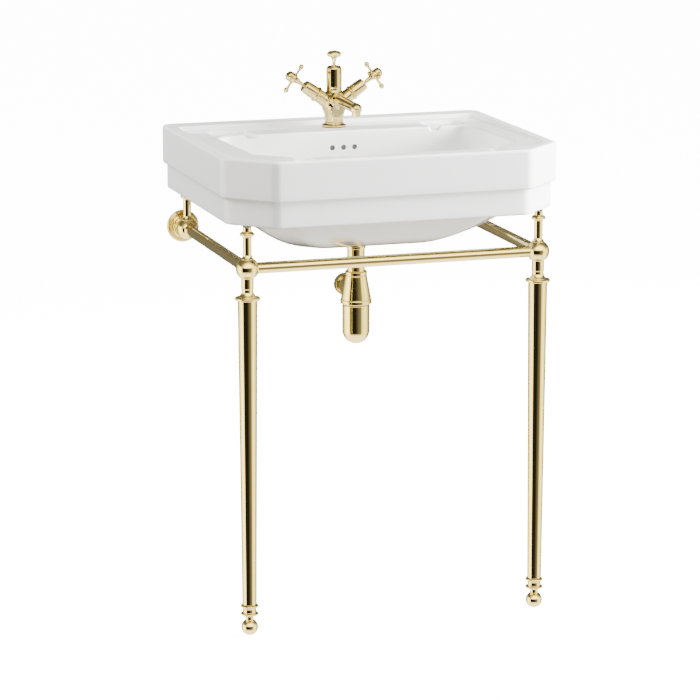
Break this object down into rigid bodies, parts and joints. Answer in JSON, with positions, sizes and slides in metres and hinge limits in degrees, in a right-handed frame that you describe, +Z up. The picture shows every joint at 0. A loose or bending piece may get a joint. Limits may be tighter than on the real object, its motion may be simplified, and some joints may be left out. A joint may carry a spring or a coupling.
{
  "type": "console basin with legs",
  "caption": "Rectangular china basin with canted front corners on a two-legged brass stand with rails, with cross-head mixer, pop-up waste and bottle trap.",
  "frame": {"origin": "on the floor, under the middle of the basin's plan", "axes": "+X to the viewer's right, +Y to the wall, +Z up"},
  "size_m": [0.61, 0.49, 0.9722],
  "materials": {
    "glazed_china": "gloss white glaze",
    "polished_brass": "pale polished gold",
    "raw_brass": "machined",
    "copper_tube": "drawn copper",
    "black_rubber": "matt"
  },
  "bodies": {
    "console": {"basin_deck": "glazed_china", "basin_skirt": "glazed_china", "basin_bowl": "glazed_china", "supply_tails": "copper_tube", "corner_joint_left": "polished_brass", "corner_joint_right": "polished_brass", "front_post_left": "polished_brass", "front_post_right": "polished_brass", "rear_post_left": "polished_brass", "rear_post_right": "polished_brass", "leg_left": "polished_brass", "leg_right": "polished_brass", "ferrule_left": "polished_brass", "ferrule_right": "polished_brass", "side_rail_left": "polished_brass", "side_rail_right": "polished_brass", "front_rail": "polished_brass", "wall_joint_left": "polished_brass", "wall_joint_right": "polished_brass", "wall_rosette_left": "polished_brass", "wall_rosette_right": "polished_brass", "bell_left": "polished_brass", "bell_right": "polished_brass", "waste_body": "polished_brass", "tail_pipe": "polished_brass", "tap_base": "polished_brass", "tap_body": "polished_brass", "body_button": "polished_brass", "tap_pillar": "polished_brass", "tap_spout": "polished_brass", "spout_nozzle": "polished_brass", "trap_inlet_nut": "polished_brass", "trap_cone": "polished_brass", "trap_outlet_nut": "polished_brass", "grub_screws": "raw_brass", "cartridge_left": "raw_brass", "cartridge_right": "raw_brass", "waste_backnut": "raw_brass", "pivot_nut": "raw_brass", "clamp_washer": "raw_brass", "tap_backnut": "raw_brass", "trap_dip_tube": "raw_brass", "basin_pads": "black_rubber", "fixed_seals": "black_rubber"},
    "handle_left_body": {"handle_left": "polished_brass", "handle_cap_left": "polished_brass", "spindle_left": "raw_brass"},
    "handle_right_body": {"handle_right": "polished_brass", "handle_cap_right": "polished_brass", "spindle_right": "raw_brass"},
    "lift_body": {"lift_rod": "polished_brass", "lift_knob": "polished_brass", "lift_link": "raw_brass"},
    "lever_body": {"popup_lever": "raw_brass"},
    "plug_body": {"waste_plug": "polished_brass", "plug_seal": "black_rubber"},
    "foot_left_body": {"foot_left": "polished_brass"},
    "foot_right_body": {"foot_right": "polished_brass"},
    "trap_cup_body": {"trap_cup": "polished_brass"}
  },
  "joints": [
    {"name": "handle_left_turn", "type": "hinge", "parent": "console", "child": "handle_left_body", "pos_m": [0, 0.162, 0.87], "axis": [-0.8192, 0, 0.5736], "range_deg": [0, 90]},
    {"name": "handle_right_turn", "type": "hinge", "parent": "console", "child": "handle_right_body", "pos_m": [0, 0.162, 0.87], "axis": [0.8192, 0, 0.5736], "range_deg": [-90, 0]},
    {"name": "lift_rod_slide", "type": "slide", "parent": "console", "child": "lift_body", "axis": [0, 0, 1], "range_m": [0, 0.022]},
    {"name": "lever_tilt", "type": "hinge", "parent": "console", "child": "lever_body", "pos_m": [0, 0.054, 0.63], "axis": [1, 0, 0], "range_deg": [0, 11.7]},
    {"name": "plug_slide", "type": "slide", "parent": "console", "child": "plug_body", "axis": [0, 0, 1], "range_m": [-0.0045, 0]},
    {"name": "foot_left_screw", "type": "slide", "parent": "console", "child": "foot_left_body", "axis": [0, 0, -1], "range_m": [0, 0.01]},
    {"name": "foot_right_screw", "type": "slide", "parent": "console", "child": "foot_right_body", "axis": [0, 0, -1], "range_m": [0, 0.01]},
    {"name": "trap_cup_drop", "type": "slide", "parent": "console", "child": "trap_cup_body", "axis": [0, 0, -1], "range_m": [0, 0.045]}
  ],
  "couplings": [
    {"joint": "lever_tilt", "follows": "lift_rod_slide", "rad_per_m": 9.2593},
    {"joint": "plug_slide", "follows": "lift_rod_slide", "ratio": -0.2037}
  ]
}
